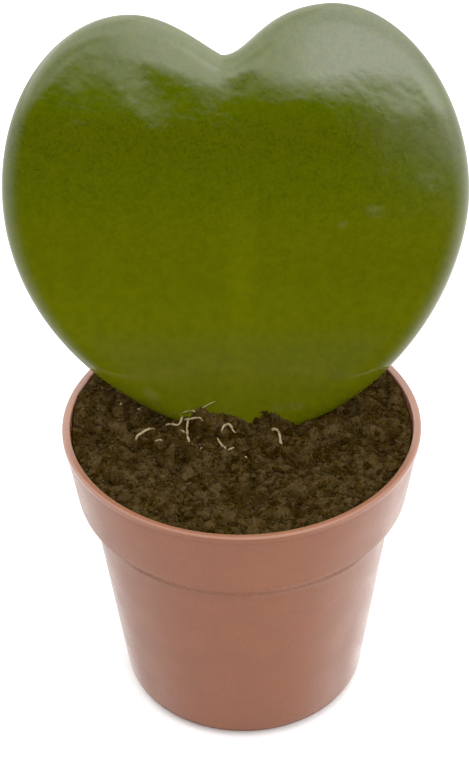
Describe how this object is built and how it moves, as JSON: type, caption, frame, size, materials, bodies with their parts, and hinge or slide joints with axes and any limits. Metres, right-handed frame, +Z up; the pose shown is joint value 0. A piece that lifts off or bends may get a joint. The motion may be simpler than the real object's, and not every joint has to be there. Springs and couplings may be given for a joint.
{
  "type": "potted hoya plant",
  "caption": "Heart-shaped thick hoya leaf rooted upright in potting soil, in a small tapered plastic flower pot with a collared rim and drain holes.",
  "frame": {"origin": "centre of the flat underside of the pot", "axes": "+Z up; the leaf's front face looks towards -Y and the leaf leans back towards +Y; +X to the right as seen from the front"},
  "size_m": [0.0761, 0.06, 0.1201],
  "materials": {
    "pot_plastic": "satin terracotta-coloured moulded plastic with a faint speckle",
    "potting_soil": "matte dark brown peat crumbs and fibres",
    "leaf_green": "waxy olive green, smooth, softly glossy, paler along the rounded margin",
    "root_cream": "matte pale cream rootlets"
  },
  "bodies": {
    "root": {"pot": "pot_plastic", "soil": "potting_soil", "leaf": "leaf_green", "roots": "root_cream"}
  },
  "joints": []
}
